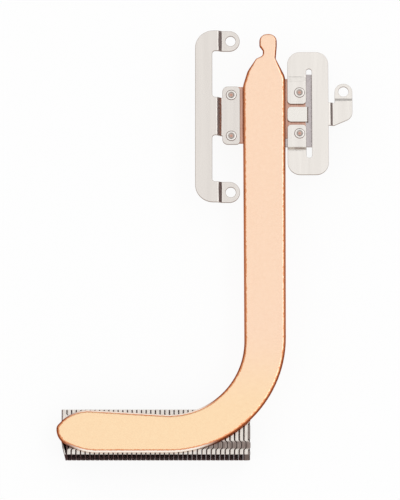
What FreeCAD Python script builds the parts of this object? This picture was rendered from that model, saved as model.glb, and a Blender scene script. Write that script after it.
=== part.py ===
"""Heatsink of a handheld game console: a flattened copper heat pipe with a stack of hooked fins under its
short leg, and a copper base plate with riveted spring brackets under its long leg.

The origin is the chip's centre on the base plate's contact face. The long leg runs along -Y from there, the
short leg along -X, and +Z points away from the chip. All sizes are in millimetres.
"""
import FreeCAD, Part
import os
import re
import Sketcher

SIZES = {
    # Heat pipe, pressed from a round tube
    "pipe_width": (8.75, "long leg, across at the base plate"),
    "leg_bend_width": (8.3, "long leg, projected to the bend's corners"),
    "pipe_thickness": (1.2, "pressed tube, top to bottom"),
    "pipe_edge": (0.5, "bevel along the pressed tube's edges"),
    "leg_reach": (71.65, "chip centre to the short leg's front edge"),
    "tip_reach": (42.1, "chip centre to the short leg's tip"),
    "leg_root_width": (6.8, "short leg, projected back to the long leg's inner edge"),
    "leg_tip_width": (8.88, "short leg, where its tip starts to taper"),
    "bend_inner": (15.2, "bend radius of the inner edge"),
    "bend_outer": (23.75, "bend radius of the outer edge"),
    "nose_front": (2.42, "front edge to the blunt tip"),
    "nose_width": (2.94, "blunt tip, across"),
    "nose_front_run": (5.78, "length of the front taper"),
    "nose_rear_run": (3.3, "length of the rear taper"),
    "nose_rear_radius": (1.32, "rounding of the blunt tip's rear corner"),
    "nose_front_radius": (3.55, "rounding of the blunt tip's front corner"),
    "nose_rear_blend": (7.6, "rounding where the rear taper starts"),
    "nose_front_blend": (12.0, "rounding where the front taper starts"),
    "shoulder_height": (5.0, "chip centre to the left shoulder"),
    "shoulder_step": (1.9, "right shoulder above the left one"),
    "flank_rise": (3.2, "left shoulder to where its slope changes"),
    "flank_side": (3.4, "where the left slope changes, sideways"),
    "crest_rise": (2.65, "from there to the left crest"),
    "crest_side": (1.65, "left crest, sideways"),
    "neck_rise": (0.7, "left crest to the neck"),
    "neck_length": (1.05, "neck, along its left edge"),
    "neck_left": (0.25, "neck's left edge, sideways"),
    "neck_right": (2.4, "neck's right edge, sideways"),
    "seal_rise": (0.9, "neck to the sealed bulb"),
    "seal_height": (2.65, "sealed bulb, from its lip to its top"),
    "seal_offset": (0.84, "sealed bulb's centre, sideways"),
    "seal_width": (3.58, "sealed bulb, across"),
    "seal_radius": (1.6, "rounding of the bulb's top"),
    "neck_radius": (0.7, "rounding at the neck"),
    "shoulder_radius": (4.0, "rounding at the shoulders"),
    # Copper base plate
    "base_thickness": (1.0, "base plate"),
    "wing_inset": (1.0, "base plate's left edge inside the left tab"),
    "wing_setback": (0.1, "base plate's right edge inside the right tabs"),
    "wing_right_top": (3.0, "right wing above the upper rivet"),
    "wing_right_bottom": (0.95, "right wing below the lower rivet"),
    "wing_left_bottom": (1.31, "left wing below the lower rivet"),
    "wing_step_inset": (1.75, "step in the wings' edges, inside the pipe's edge"),
    # Spring sheet of both brackets
    "sheet_thickness": (0.4, "bracket sheet"),
    "bar_rise": (0.8, "brackets' bars above their tabs"),
    "lug_drop": (0.5, "screw lugs below the bars"),
    "fold_radius": (0.2, "inside radius of the sheet's folds"),
    "fold_run": (0.92, "length of a step down to a tab"),
    "lug_fold_run": (0.8, "length of a step down to a left lug"),
    "lug_hole": (1.05, "radius of a screw hole"),
    "lug_round_gap": (0.03, "flat left in the middle of a rounded lug end"),
    "tab_corner": (0.75, "rounding of the tabs' corners"),
    # Left bracket, from the pipe outward
    "left_tab_gap": (0.59, "left tab to the pipe"),
    "left_tab_width": (3.61, "left tab, across"),
    "left_tab_margin": (1.82, "left tab past its rivets"),
    "left_tab_corner": (1.1, "rounding of the left tab's corners beside its neck"),
    "left_neck": (8.1, "left tab's neck, along the long leg"),
    "left_neck_length": (0.87, "neck, from the bar to its step"),
    "left_bar_width": (3.5, "left bar, across"),
    "left_bar_corner": (3.7, "rounding of the left bar's outer corners"),
    "left_centre": (-1.45, "left bar's middle, along the long leg"),
    "lug_spacing": (32.15, "between the left screw holes"),
    "lug_width": (4.35, "left lugs, across"),
    "lug_arm_length": (1.09, "lug's arm, from the bar to its step"),
    "lug_inset": (1.88, "lug's step to its screw hole"),
    "lug_overhang": (1.88, "left lugs past their screw holes"),
    "arm_corner": (0.6, "rounding inside the left bracket's corners"),
    # Right bracket, from the pipe outward
    "right_gap": (0.39, "right bracket to the pipe"),
    "right_tab_width": (3.85, "right tabs, across"),
    "right_tab_gap": (4.4, "between the two right tabs"),
    "right_centre": (-0.9, "right bracket's middle, along the long leg"),
    "tab_fold": (8.02, "bracket's middle to where its tabs step down"),
    "slot_width": (1.14, "slot, across"),
    "slot_overrun": (1.43, "slot past the tabs' steps"),
    "slot_corner": (0.5, "rounding of the slot's ends"),
    "right_margin": (3.6, "plate past the slot"),
    "right_bar_width": (3.4, "right bar, across"),
    "right_corner": (2.6, "rounding of the right bracket's corners"),
    "arm_length": (0.22, "arm, from the bar to its step"),
    "arm_drop": (0.3, "arm below the bar"),
    "arm_fold_run": (0.6, "length of the arm's steps"),
    "arm_width": (3.8, "arm, across"),
    "arm_top": (1.4, "arm's upper edge"),
    "arm_root": (3.45, "arm's lower edge at the bar"),
    "arm_end": (1.8, "arm's lower edge at its outer end"),
    "arm_round": (1.9, "rounding of the arm's lower outer corner"),
    "side_lug_width": (3.62, "right lug, across"),
    "side_lug_inset": (1.52, "right lug's step to its screw hole"),
    "side_lug_overhang": (1.68, "right lug past its screw hole"),
    # Clamp frame under the right bracket
    "frame_gap": (0.06, "frame to the base plate's edges"),
    "frame_width": (2.9, "frame's upright, across"),
    "frame_upper": (0.88, "frame's upper arm, across"),
    "frame_upper_length": (3.4, "frame's upper arm"),
    "frame_lower": (1.75, "frame's lower arm, across"),
    "frame_lower_gap": (0.8, "frame's lower arm to the plate's step"),
    "tongue_gap": (0.62, "tongue to the tabs beside it"),
    "tongue_corner": (0.75, "rounding of the tongue's end"),
    "tongue_fold_run": (0.2, "length of the tongue's step"),
    # Rivets
    "rivet_spacing": (8.7, "between the rivets of one bracket"),
    "rivet_left_centre": (-1.15, "middle of the left rivets"),
    "rivet_right_centre": (-0.62, "middle of the right rivets"),
    "rivet_right_shift": (0.55, "right rivets off the tabs' middle"),
    "rivet_shank": (0.45, "radius of a rivet"),
    "rivet_rise": (0.05, "rivet above its tab"),
    "rivet_gap": (0.03, "rivet's shank to its hole"),
    "rivet_recess": (0.1, "rivet's end inside the contact face"),
    # Fin stack
    "fin_count": (41, "fins in the stack"),
    "fin_pitch": (0.94, "from fin to fin"),
    "fin_thickness": (0.2, "fin sheet"),
    "fin_height": (6.4, "fin, top to bottom"),
    "fin_depth": (9.22, "fin, front to rear"),
    "fin_inset": (1.0, "pipe's tip to the first fin"),
    "fin_overhang": (0.25, "fins past the pipe's front edge"),
    "fin_gap": (0.03, "clearance between neighbouring fins"),
    "fin_fold": (0.29, "bevel that a fin's folds have outside"),
    "lock_offset": (2.69, "fin's middle to each lock"),
    "lock_root": (2.3, "locking tongue, width at its root"),
    "lock_tip": (1.04, "locking tongue, width at its tip"),
    "lock_reach": (0.5, "locking tongue past the next fin's face"),
    "lock_gap": (0.1, "clearance of a locking tongue in its window"),
    "end_flange": (0.46, "last fin's short flange"),
    "end_droop": (0.3, "last fin's short flange, bent down at its end"),
    "end_gap": (0.06, "bent corners of the end fins to their neighbours"),
    "bent_length": (2.6, "bent front corner of the first fin"),
}

# Places that several pieces share
FOLD_FLAT = "(fold_radius + sheet_thickness) / 2"
LUG_LEVEL = "bar_rise - lug_drop"
RIVET_TOP_LEFT = "rivet_left_centre + rivet_spacing / 2"
RIVET_BOTTOM_LEFT = "rivet_left_centre - rivet_spacing / 2"
RIVET_TOP_RIGHT = "rivet_right_centre + rivet_spacing / 2"
RIVET_BOTTOM_RIGHT = "rivet_right_centre - rivet_spacing / 2"
LEFT_TAB_RIGHT = "-pipe_width / 2 - left_tab_gap"
LEFT_TAB_LEFT = f"{LEFT_TAB_RIGHT} - left_tab_width"
RIGHT_INNER = "pipe_width / 2 + right_gap"
SLOT_LEFT = f"{RIGHT_INNER} + right_tab_width"
WING_RIGHT = f"{SLOT_LEFT} - wing_setback"
WING_RIGHT_TOP = f"{RIVET_TOP_RIGHT} + wing_right_top"
WING_RIGHT_BOTTOM = f"{RIVET_BOTTOM_RIGHT} - wing_right_bottom"
WING_STEP = "pipe_width / 2 - wing_step_inset"
RIVETS_LEFT = [
    (f"{LEFT_TAB_RIGHT} - left_tab_width / 2", RIVET_TOP_LEFT),
    (f"{LEFT_TAB_RIGHT} - left_tab_width / 2", RIVET_BOTTOM_LEFT),
]
RIVETS_RIGHT = [
    (f"{RIGHT_INNER} + right_tab_width / 2 + rivet_right_shift", RIVET_TOP_RIGHT),
    (f"{RIGHT_INNER} + right_tab_width / 2 + rivet_right_shift", RIVET_BOTTOM_RIGHT),
]
# A fin's inside bevel is smaller by what keeps the sheet's thickness across the fold
INSIDE_FOLD = "(fin_fold - fin_thickness * (2 - sqrt(2)))"
LOCKS = ["lock_offset", "-lock_offset"]

doc = FreeCAD.newDocument("heatsink")
sheet = doc.addObject("Spreadsheet::Sheet", "Sizes")
for row, (alias, (number, meaning)) in enumerate(SIZES.items(), 1):
    sheet.set(f"A{row}", meaning)
    sheet.set(f"B{row}", str(number))
    sheet.setAlias(f"B{row}", alias)
doc.recompute()


def bound(formula):
    """The expression that reads a formula's sizes from the sheet."""
    return re.sub(r"[a-z_]+(?![a-z_(])", r"Sizes.\g<0>", formula)


def value(formula):
    """A formula's present value."""
    return float(sheet.evalExpression(formula))


def new_body(label, x="0", y="0", z="0"):
    """An empty body at a place given by three formulas."""
    body = doc.addObject("PartDesign::Body", label)
    body.Label = label
    for axis, formula in zip("xyz", (x, y, z)):
        body.setExpression(f"Placement.Base.{axis}", bound(formula))
    return body


def origin_plane(body, role):
    """One of the body's own origin planes."""
    return next(plane for plane in body.Origin.OriginFeatures if plane.Role == role)


def new_sketch(body, name, role, offset):
    """An empty sketch on an origin plane, moved along the plane's normal."""
    sketch = body.newObject("Sketcher::SketchObject", name)
    sketch.AttachmentSupport = (origin_plane(body, role), [""])
    sketch.MapMode = "FlatFace"
    sketch.setExpression("AttachmentOffset.Base.z", bound(offset))
    return sketch


def fix_point(sketch, geometry, point, place):
    """Hold one point of a sketch at two formulas."""
    for kind, formula in zip(("DistanceX", "DistanceY"), place):
        rule = Sketcher.Constraint(kind, -1, 1, geometry, point, value(formula))
        index = sketch.addConstraint(rule)
        sketch.setExpression(f"Constraints[{index}]", bound(formula))


def add_polygon(sketch, corners):
    """A closed outline through corners that are each held at two formulas."""
    points = [FreeCAD.Vector(value(x), value(y), 0) for x, y in corners]
    first = sketch.GeometryCount
    count = len(corners)
    for index, point in enumerate(points):
        sketch.addGeometry(Part.LineSegment(point, points[(index + 1) % count]))
    for index, place in enumerate(corners):
        following = first + (index + 1) % count
        sketch.addConstraint(Sketcher.Constraint("Coincident", first + index, 2, following, 1))
        fix_point(sketch, first + index, 1, place)


def rectangle(left, right, bottom, top):
    """The four corners of a rectangle."""
    return [(left, bottom), (right, bottom), (right, top), (left, top)]


def pad(body, name, role, offset, outlines, length, downward=False):
    """Outlines drawn on a plane and given a thickness."""
    sketch = new_sketch(body, name + "_outline", role, offset)
    for corners in outlines:
        add_polygon(sketch, corners)
    feature = body.newObject("PartDesign::Pad", name)
    feature.Profile = sketch
    feature.setExpression("Length", bound(length))
    feature.Reversed = downward
    return feature


def pocket(body, name, offset, outlines, depth):
    """Outlines cut downward from a level."""
    sketch = new_sketch(body, name + "_outline", "XY_Plane", offset)
    for corners in outlines:
        add_polygon(sketch, corners)
    feature = body.newObject("PartDesign::Pocket", name)
    feature.Profile = sketch
    feature.setExpression("Length", bound(depth))
    return feature


def add_circle(sketch, place, radius):
    """A circle whose centre and radius are held at formulas."""
    centre = FreeCAD.Vector(value(place[0]), value(place[1]), 0)
    upward = FreeCAD.Vector(0, 0, 1)
    circle = sketch.addGeometry(Part.Circle(centre, upward, value(radius)))
    fix_point(sketch, circle, 3, place)
    index = sketch.addConstraint(Sketcher.Constraint("Radius", circle, value(radius)))
    sketch.setExpression(f"Constraints[{index}]", bound(radius))


def drill(body, name, offset, radius, depth, centres):
    """Round holes cut downward from a level."""
    sketch = new_sketch(body, name + "_outline", "XY_Plane", offset)
    for centre in centres:
        add_circle(sketch, centre, radius)
    feature = body.newObject("PartDesign::Pocket", name)
    feature.Profile = sketch
    feature.setExpression("Length", bound(depth))
    return feature


def straight_edges(shape, axis, spots):
    """Names of the straight edges along one axis through the given spots across it."""
    across = [index for index in range(3) if index != axis]
    wanted = [(value(first), value(second)) for first, second in spots]
    names = []
    for number, edge in enumerate(shape.Edges, 1):
        if edge.Curve.TypeId != "Part::GeomLine":
            continue
        if abs(edge.tangentAt(edge.FirstParameter)[axis]) < 0.999:
            continue
        middle = [edge.CenterOfMass[index] for index in across]
        if any(abs(middle[0] - x) < 1e-4 and abs(middle[1] - y) < 1e-4 for x, y in wanted):
            names.append(f"Edge{number}")
    if len(names) < len(wanted):
        raise ValueError(f"edges missing: {spots}")
    return names


def round_edges(body, name, radius, axis, spots):
    """Rounding of straight edges along one axis (0, 1 or 2 for X, Y or Z)."""
    doc.recompute()
    base = body.Tip
    feature = body.newObject("PartDesign::Fillet", name)
    feature.Base = (base, straight_edges(base.Shape, axis, spots))
    feature.setExpression("Radius", bound(radius))


def bevel_edges(body, name, size, names):
    """Even bevel along the named edges of a body's last feature."""
    base = body.Tip
    feature = body.newObject("PartDesign::Chamfer", name)
    feature.Base = (base, names)
    feature.setExpression("Size", bound(size))


def level_edges(shape):
    """Names of the edges that lie level, round a flat body's top and bottom."""
    return [f"Edge{number}" for number, edge in enumerate(shape.Edges, 1) if edge.BoundBox.ZLength < 1e-4]


def limited(radius, wall):
    """A rounding that takes at most this share of a wall from each of its ends."""
    largest_share = 0.46
    return f"min({radius}; {largest_share} * ({wall}))"


def heat_pipe():
    """Pressed tube: sealed bulb, long leg, bend and short leg with a blunt tip."""
    crest_height = "shoulder_height + flank_rise + crest_rise"
    neck_low = f"{crest_height} + neck_rise"
    neck_high = f"{neck_low} + neck_length"
    seal_lip = f"{neck_high} + seal_rise"
    seal_top = f"{seal_lip} + seal_height"
    seal_left = "seal_offset - seal_width / 2"
    seal_right = "seal_offset + seal_width / 2"
    right_shoulder = ("pipe_width / 2", "shoulder_height + shoulder_step")
    right_neck = ("neck_right", crest_height)
    right_lip = (seal_right, seal_lip)
    seal_corners = [(seal_right, seal_top), (seal_left, seal_top)]
    left_lip = (seal_left, seal_lip)
    left_neck = [("-neck_left", neck_high), ("-neck_left", neck_low)]
    crest = ("-crest_side", crest_height)
    flank = ("-flank_side", "shoulder_height + flank_rise")
    left_shoulder = ("-pipe_width / 2", "shoulder_height")
    inner_corner = ("-leg_bend_width / 2", "leg_root_width - leg_reach")
    rear_taper = ("nose_rear_run - tip_reach", "leg_tip_width - leg_reach")
    nose = [
        ("-tip_reach", "nose_front + nose_width - leg_reach"),
        ("-tip_reach", "nose_front - leg_reach"),
    ]
    front_taper = ("nose_front_run - tip_reach", "-leg_reach")
    outer_corner = ("leg_bend_width / 2", "-leg_reach")
    outline = [right_shoulder, right_neck, right_lip, *seal_corners, left_lip, *left_neck, crest, flank]
    outline += [left_shoulder, inner_corner, rear_taper, *nose, front_taper, outer_corner]
    body = new_body("heat_pipe", z="base_thickness")
    pad(body, "pipe", "XY_Plane", "0", [outline], "pipe_thickness")
    round_edges(body, "outer_bend", "bend_outer", 2, [outer_corner])
    round_edges(body, "inner_bend", "bend_inner", 2, [inner_corner])
    # The tip's front corner turns less than a square one, and takes most of the tip's width
    front_radius = limited("nose_front_radius", "2.65 * nose_width")
    # A rounding takes its radius times the tangent of half its turn from the blunt tip, which both corners share
    rear_rise = "(leg_tip_width - nose_front - nose_width)"
    rear_half_turn = f"((sqrt(nose_rear_run ^ 2 + {rear_rise} ^ 2) - {rear_rise}) / nose_rear_run)"
    front_half_turn = "((sqrt(nose_front_run ^ 2 + nose_front ^ 2) - nose_front) / nose_front_run)"
    rear_room = f"(0.99 * nose_width - {front_half_turn} * {front_radius})"
    rear_radius = f"min({limited('nose_rear_radius', 'nose_width')}; {rear_room} / {rear_half_turn})"
    round_edges(body, "tip_rear", rear_radius, 2, nose[:1])
    round_edges(body, "tip_front", front_radius, 2, nose[1:])
    round_edges(body, "rear_blend", "nose_rear_blend", 2, [rear_taper])
    round_edges(body, "front_blend", "nose_front_blend", 2, [front_taper])
    round_edges(body, "bulb", limited("seal_radius", "seal_width"), 2, seal_corners)
    round_edges(body, "neck", "neck_radius", 2, [right_neck, left_lip, *left_neck, crest])
    round_edges(body, "shoulders", "shoulder_radius", 2, [right_shoulder, right_lip, flank, left_shoulder])
    doc.recompute()
    bevel_edges(body, "pressed_edges", limited("pipe_edge", "pipe_thickness"), level_edges(body.Tip.Shape))
    return body


def base_plate():
    """Copper plate with a wing on each side of the pipe, the right one set higher."""
    left_edge = f"{LEFT_TAB_LEFT} + wing_inset"
    left_top = f"{RIVET_TOP_LEFT} + left_tab_margin"
    left_bottom = f"{RIVET_BOTTOM_LEFT} - wing_left_bottom"
    corners = [
        (left_edge, left_top),
        (left_edge, left_bottom),
        (WING_STEP, left_bottom),
        (WING_STEP, WING_RIGHT_BOTTOM),
        (WING_RIGHT, WING_RIGHT_BOTTOM),
        (WING_RIGHT, WING_RIGHT_TOP),
        (f"-({WING_STEP})", WING_RIGHT_TOP),
        (f"-({WING_STEP})", left_top),
    ]
    hole = "rivet_shank + rivet_gap"
    body = new_body("base_plate")
    pad(body, "plate", "XY_Plane", "0", [corners], "base_thickness")
    drill(body, "rivet_holes", "base_thickness", hole, "base_thickness", RIVETS_LEFT + RIVETS_RIGHT)
    return body


def step_profile(start, fold, run, end, high, low):
    """Section of a sheet that runs level, steps down and runs level again, towards +X or +Y."""
    slant = f"sheet_thickness * tan(atan(({high} - ({low})) / ({run})) / 2)"
    upper_fold = f"{fold} + {slant}"
    lower_fold = f"{fold} + {run} + {slant}"
    return [
        (start, high),
        (fold, high),
        (f"{fold} + {run}", low),
        (end, low),
        (end, f"{low} + sheet_thickness"),
        (lower_fold, f"{low} + sheet_thickness"),
        (upper_fold, f"{high} + sheet_thickness"),
        (start, f"{high} + sheet_thickness"),
    ]


def round_folds(body, name, axis, profile):
    """Bend radii of a stepped section: small inside each fold, a sheet thickness more outside it."""
    round_edges(body, name + "_inside", "fold_radius", axis, [profile[1], profile[5]])
    round_edges(body, name + "_outside", "fold_radius + sheet_thickness", axis, [profile[2], profile[6]])


def left_bracket():
    """Long spring bar with a screw lug on each end and a riveted tab in the middle."""
    neck_fold = f"{LEFT_TAB_LEFT} - {FOLD_FLAT} - fold_run"
    bar_right = f"{neck_fold} - left_neck_length"
    bar_left = f"{bar_right} - left_bar_width"
    bar_middle = f"{bar_right} - left_bar_width / 2"
    bar_top = "left_centre + (lug_spacing + lug_width) / 2"
    bar_bottom = "left_centre - (lug_spacing + lug_width) / 2"
    lug_fold = f"{bar_right} + lug_arm_length"
    lug_hole_x = f"{lug_fold} + lug_fold_run + lug_inset"
    lug_end = f"{lug_hole_x} + lug_overhang"
    neck_edges = ["left_centre + left_neck / 2", "left_centre - left_neck / 2"]
    lug = step_profile(bar_middle, lug_fold, "lug_fold_run", lug_end, "bar_rise", LUG_LEVEL)
    neck = step_profile(bar_middle, neck_fold, "fold_run", LEFT_TAB_RIGHT, "bar_rise", "0")
    bar = rectangle(bar_left, bar_right, bar_bottom, bar_top)
    tab_top = f"{RIVET_TOP_LEFT} + left_tab_margin"
    tab_bottom = f"{RIVET_BOTTOM_LEFT} - left_tab_margin"
    tab = rectangle(LEFT_TAB_LEFT, LEFT_TAB_RIGHT, tab_bottom, tab_top)
    inner_edges = [f"{bar_top} - lug_width", f"{bar_bottom} + lug_width"]
    lug_corners = [(lug_end, edge) for edge in (bar_top, *inner_edges, bar_bottom)]
    holes = [(lug_hole_x, f"left_centre {side} lug_spacing / 2") for side in ("+", "-")]
    body = new_body("left_bracket", z="base_thickness")
    pad(body, "bar", "XY_Plane", "bar_rise", [bar], "sheet_thickness")
    pad(body, "upper_lug", "XZ_Plane", f"-({bar_top})", [lug], "lug_width")
    pad(body, "lower_lug", "XZ_Plane", f"-({inner_edges[1]})", [lug], "lug_width")
    pad(body, "neck", "XZ_Plane", f"-({neck_edges[0]})", [neck], "left_neck")
    pad(body, "tab", "XY_Plane", "0", [tab], "sheet_thickness")
    round_edges(body, "bar_corners", "left_bar_corner", 2, [bar[0], bar[3]])
    bends = [(bar_right, edge) for edge in inner_edges + neck_edges]
    round_edges(body, "inner_corners", "arm_corner", 2, bends)
    round_edges(body, "lug_ends", "lug_width / 2 - lug_round_gap", 2, lug_corners)
    round_edges(body, "tab_corners", "tab_corner", 2, tab[1:3])
    round_edges(body, "neck_side_corners", "left_tab_corner", 2, [tab[0], tab[3]])
    round_folds(body, "lug_folds", 1, lug)
    round_folds(body, "neck_folds", 1, neck)
    drill(body, "screw_holes", f"{LUG_LEVEL} + sheet_thickness", "lug_hole", "sheet_thickness", holes)
    drill(body, "rivet_holes", "sheet_thickness", "rivet_shank + rivet_gap", "sheet_thickness", RIVETS_LEFT)
    return body


def right_bracket():
    """Slotted spring plate with two riveted tabs and a stepped arm with a screw lug."""
    fold_top = "right_centre + tab_fold"
    fold_bottom = "right_centre - tab_fold"
    slot_top = f"{fold_top} + slot_overrun"
    slot_bottom = f"{fold_bottom} - slot_overrun"
    top = f"{slot_top} + right_margin"
    bottom = f"{slot_bottom} - right_margin"
    slot_right = f"{SLOT_LEFT} + slot_width"
    outer = f"{slot_right} + right_bar_width"
    plate = [
        (RIGHT_INNER, top),
        (RIGHT_INNER, fold_top),
        (SLOT_LEFT, fold_top),
        (SLOT_LEFT, slot_top),
        (slot_right, slot_top),
        (slot_right, slot_bottom),
        (SLOT_LEFT, slot_bottom),
        (SLOT_LEFT, fold_bottom),
        (RIGHT_INNER, fold_bottom),
        (RIGHT_INNER, bottom),
        (outer, bottom),
        (outer, top),
    ]
    tab = step_profile("-tab_fold - fold_run", "-tab_fold", "fold_run", "-right_tab_gap / 2", "bar_rise", "0")
    lower_tab = [(f"right_centre + ({y})", z) for y, z in tab]
    upper_tab = [(f"right_centre - ({y})", z) for y, z in tab]
    tab_ends = []
    for edge in (RIGHT_INNER, SLOT_LEFT):
        for side in ("+", "-"):
            tab_ends.append((edge, f"right_centre {side} right_tab_gap / 2"))
    body = new_body("right_bracket", z="base_thickness")
    pad(body, "plate", "XY_Plane", "bar_rise", [plate], "sheet_thickness")
    round_edges(body, "plate_corners", "right_corner", 2, [plate[0], *plate[9:]])
    round_edges(body, "slot_ends", limited("slot_corner", "slot_width"), 2, plate[3:7])
    pad(body, "lower_tab", "YZ_Plane", RIGHT_INNER, [lower_tab], "right_tab_width")
    pad(body, "upper_tab", "YZ_Plane", RIGHT_INNER, [upper_tab], "right_tab_width")
    round_folds(body, "lower_tab_folds", 0, lower_tab)
    round_folds(body, "upper_tab_folds", 0, upper_tab)
    round_edges(body, "tab_ends", "tab_corner", 2, tab_ends)
    add_side_arm(body, outer)
    drill(body, "rivet_holes", "sheet_thickness", "rivet_shank + rivet_gap", "sheet_thickness", RIVETS_RIGHT)
    return body


def add_side_arm(body, bar_edge):
    """Arm that steps down beside the right bar and again to its screw lug."""
    arm_level = "bar_rise - arm_drop"
    arm_fold = f"{bar_edge} + arm_length"
    arm_left = f"{arm_fold} + arm_fold_run + {FOLD_FLAT}"
    arm_right = f"{arm_left} + arm_width"
    lug_left = f"{arm_right} - side_lug_width"
    lug_fold = f"arm_top + {FOLD_FLAT}"
    hole = (f"{arm_right} - side_lug_width / 2", f"{lug_fold} + arm_fold_run + side_lug_inset")
    lug_end = f"{hole[1]} + side_lug_overhang"
    neck_start = f"{bar_edge} - right_bar_width / 2"
    neck = step_profile(neck_start, arm_fold, "arm_fold_run", arm_left, "bar_rise", arm_level)
    lug = step_profile("0", lug_fold, "arm_fold_run", lug_end, arm_level, LUG_LEVEL)
    arm = [(arm_left, "-arm_root"), (arm_right, "-arm_end"), (arm_right, "arm_top"), (arm_left, "arm_top")]
    pad(body, "arm_neck", "XZ_Plane", "-arm_top", [neck], "arm_top + arm_root")
    pad(body, "arm", "XY_Plane", arm_level, [arm], "sheet_thickness")
    pad(body, "side_lug", "YZ_Plane", lug_left, [lug], "side_lug_width")
    round_edges(body, "arm_corner", "arm_round", 2, [arm[1]])
    lug_corners = [(lug_left, lug_end), (arm_right, lug_end)]
    round_edges(body, "side_lug_end", "side_lug_width / 2 - lug_round_gap", 2, lug_corners)
    round_folds(body, "arm_folds", 1, neck)
    round_folds(body, "side_lug_folds", 0, lug)
    drill(body, "side_screw_hole", f"{LUG_LEVEL} + sheet_thickness", "lug_hole", "sheet_thickness", [hole])


def clamp_frame():
    """Sheet frame beside the base plate, with a tongue that laps on the plate between the right tabs."""
    inner = f"{WING_RIGHT} + frame_gap"
    outer = f"{inner} + frame_width"
    upper_edge = f"{WING_RIGHT_TOP} + frame_gap"
    lower_edge = f"{WING_RIGHT_BOTTOM} - frame_gap"
    top = f"{upper_edge} + frame_upper"
    bottom = f"{lower_edge} - frame_lower"
    upper_end = f"{inner} - frame_upper_length"
    lower_end = f"{WING_STEP} + frame_lower_gap"
    notch = f"{inner} + tongue_fold_run + {FOLD_FLAT}"
    tongue_top = "right_centre + right_tab_gap / 2 - tongue_gap"
    tongue_bottom = "right_centre - right_tab_gap / 2 + tongue_gap"
    level = "-sheet_thickness"
    frame = [
        (upper_end, top),
        (upper_end, upper_edge),
        (inner, upper_edge),
        (inner, f"{tongue_top} + frame_gap"),
        (notch, f"{tongue_top} + frame_gap"),
        (notch, f"{tongue_bottom} - frame_gap"),
        (inner, f"{tongue_bottom} - frame_gap"),
        (inner, lower_edge),
        (lower_end, lower_edge),
        (lower_end, bottom),
        (outer, bottom),
        (outer, top),
    ]
    tongue = step_profile(RIGHT_INNER, inner, "tongue_fold_run", outer, "0", level)
    tongue_end = [(RIGHT_INNER, tongue_top), (RIGHT_INNER, tongue_bottom)]
    body = new_body("clamp_frame", z="base_thickness")
    pad(body, "frame", "XY_Plane", level, [frame], "sheet_thickness")
    pad(body, "tongue", "XZ_Plane", f"-({tongue_top})", [tongue], "right_tab_gap - 2 * tongue_gap")
    round_edges(body, "tongue_corners", "tongue_corner", 2, tongue_end)
    return body


def rivets():
    """Four flush rivets through the brackets' tabs and the base plate."""
    copies = []
    for number, (x, y) in enumerate(RIVETS_LEFT + RIVETS_RIGHT, 1):
        body = new_body(f"rivet_{number}", x, y)
        if copies:
            copy_shape(body, copies[0])
        else:
            sketch = new_sketch(body, "rivet_outline", "XY_Plane", "rivet_recess")
            add_circle(sketch, ("0", "0"), "rivet_shank")
            pin = body.newObject("PartDesign::Pad", "rivet")
            pin.Profile = sketch
            pin.setExpression("Length", bound("base_thickness + sheet_thickness + rivet_rise - rivet_recess"))
        copies.append(body)
    group = doc.addObject("Part::Compound", "rivets")
    group.Label = "rivets"
    group.Links = copies
    return group


def copy_shape(body, source):
    """Fill a body with a linked copy of another body's shape."""
    clone = body.newObject("PartDesign::FeatureBase", "stamping")
    clone.BaseFeature = source
    body.Tip = clone


def new_fin(number):
    """An empty body at a fin's place, with its origin in the middle of the fin's web."""
    x = f"fin_inset - tip_reach + {number - 1} * fin_pitch"
    y = "fin_depth / 2 - leg_reach - fin_overhang"
    return new_body(f"fin_{number:02d}", x, y, "base_thickness - fin_height / 2")


def folded_half(side, reach):
    """Upper or lower half of a fin's section, from its outer face round the flange to its inner face."""
    edge = f"{side} * fin_height / 2"
    inner = f"{side} * (fin_height / 2 - fin_thickness)"
    return [
        ("0", f"{side} * (fin_height / 2 - fin_fold)"),
        ("fin_fold", edge),
        (reach, edge),
        (reach, inner),
        (f"fin_thickness + {INSIDE_FOLD}", inner),
        ("fin_thickness", f"{side} * (fin_height / 2 - fin_thickness - {INSIDE_FOLD})"),
    ]


def add_channel(body, length):
    """Web with a flange along its top and bottom, from the fin's rear edge forward."""
    reach = "fin_pitch - fin_gap"
    section = folded_half("1", reach) + folded_half("-1", reach)[::-1]
    pad(body, "channel", "XZ_Plane", "-fin_depth / 2", [section], length)


def lock_trapezoid(centre, root_x, tip_x, clearance):
    """Outline of a locking tongue, or of its window with a clearance all round."""
    root = f"(lock_root / 2 + {clearance})"
    tip = f"(lock_tip / 2 + {clearance})"
    return [
        (root_x, f"{centre} - {root}"),
        (tip_x, f"{centre} - {tip}"),
        (tip_x, f"{centre} + {tip}"),
        (root_x, f"{centre} + {root}"),
    ]


def add_tongues(body, centres):
    """Locking tongues on the top flange's free edge."""
    start = "fin_pitch - fin_gap - fin_thickness"
    outlines = [lock_trapezoid(centre, start, "fin_pitch + lock_reach", "0") for centre in centres]
    pad(body, "tongues", "XY_Plane", "fin_height / 2", outlines, "fin_thickness", downward=True)


def add_windows(body, outlines, depth):
    """Windows in the top fold that take the neighbour's tongues."""
    pocket(body, "windows", "fin_height / 2", outlines, depth)


def middle_fin(number):
    """Fin with both locks."""
    body = new_fin(number)
    add_channel(body, "fin_depth")
    outlines = [lock_trapezoid(centre, "-fin_gap", "lock_reach + lock_gap", "lock_gap") for centre in LOCKS]
    add_windows(body, outlines, "fin_thickness")
    add_tongues(body, LOCKS)
    return body


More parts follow.
